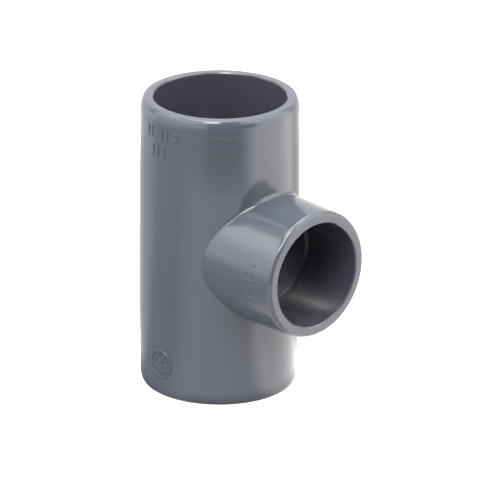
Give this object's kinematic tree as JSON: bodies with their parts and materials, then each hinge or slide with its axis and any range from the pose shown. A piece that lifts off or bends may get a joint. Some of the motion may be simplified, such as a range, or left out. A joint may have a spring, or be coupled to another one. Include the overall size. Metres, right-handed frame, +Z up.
{
  "type": "reducing tee",
  "caption": "Straight pipe run with a socket at each end and a smaller side branch with its own socket, moulded in one piece.",
  "frame": {"origin": "centre of the lower run mouth, in the plane of its rim, on the run's axis", "axes": "+Z up along the run's axis, +X out along the branch's axis"},
  "size_m": [0.0836, 0.0604, 0.114],
  "materials": {
    "pvc_grey": "semi-gloss moulded plastic"
  },
  "bodies": {
    "root": {"tee": "pvc_grey"}
  },
  "joints": []
}
